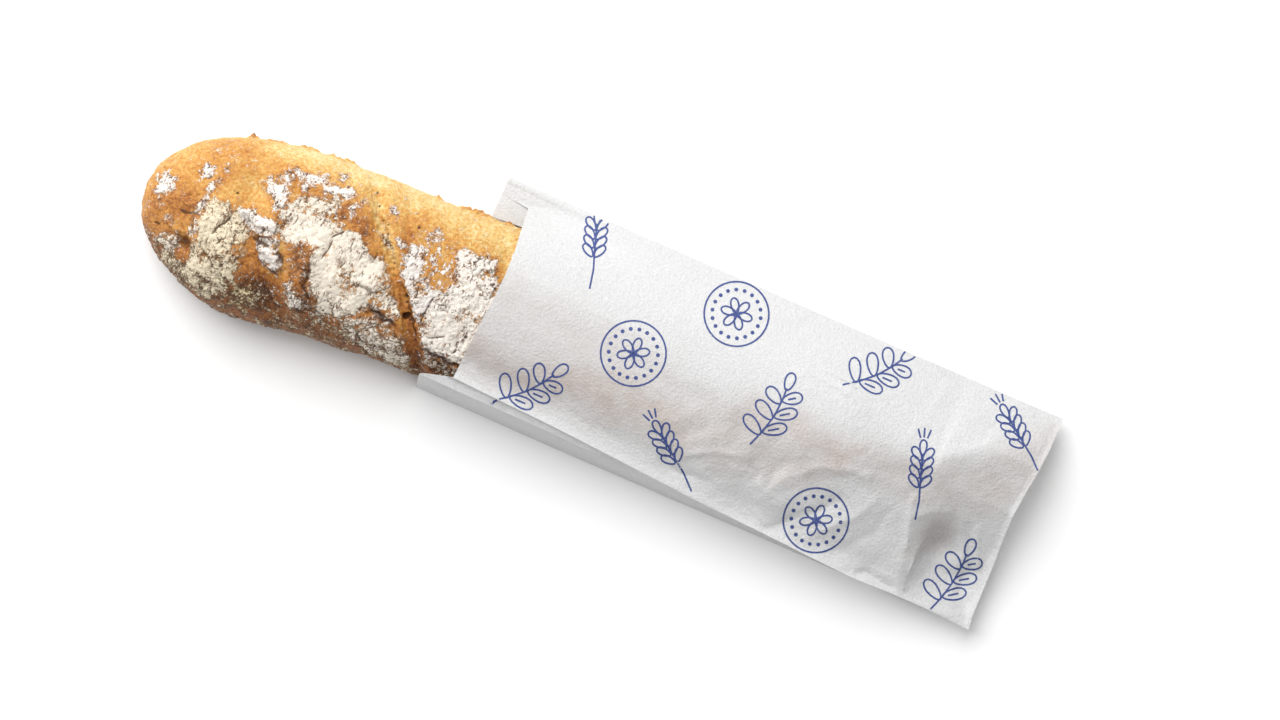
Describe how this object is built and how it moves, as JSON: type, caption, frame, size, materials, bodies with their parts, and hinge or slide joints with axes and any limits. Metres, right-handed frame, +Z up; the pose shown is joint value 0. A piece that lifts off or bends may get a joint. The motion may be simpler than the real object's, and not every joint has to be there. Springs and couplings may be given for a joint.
{
  "type": "baguette in a paper bag",
  "caption": "Rustic floured baguette with slanted scores, lying half out of an open white paper bag with side gussets and a flat closed end",
  "frame": {"origin": "middle of the whole on the floor it lies on", "axes": "+X along the loaf from its bare end to the closed end of the bag, +Y across, towards the folded-in gusset, +Z up out of the crown"},
  "size_m": [0.4321, 0.1135, 0.0481],
  "materials": {
    "crust": "dry baked crust with flour",
    "paper": "thin white paper"
  },
  "bodies": {
    "root": {"loaf": "crust", "paper_bag": "paper"}
  },
  "joints": []
}
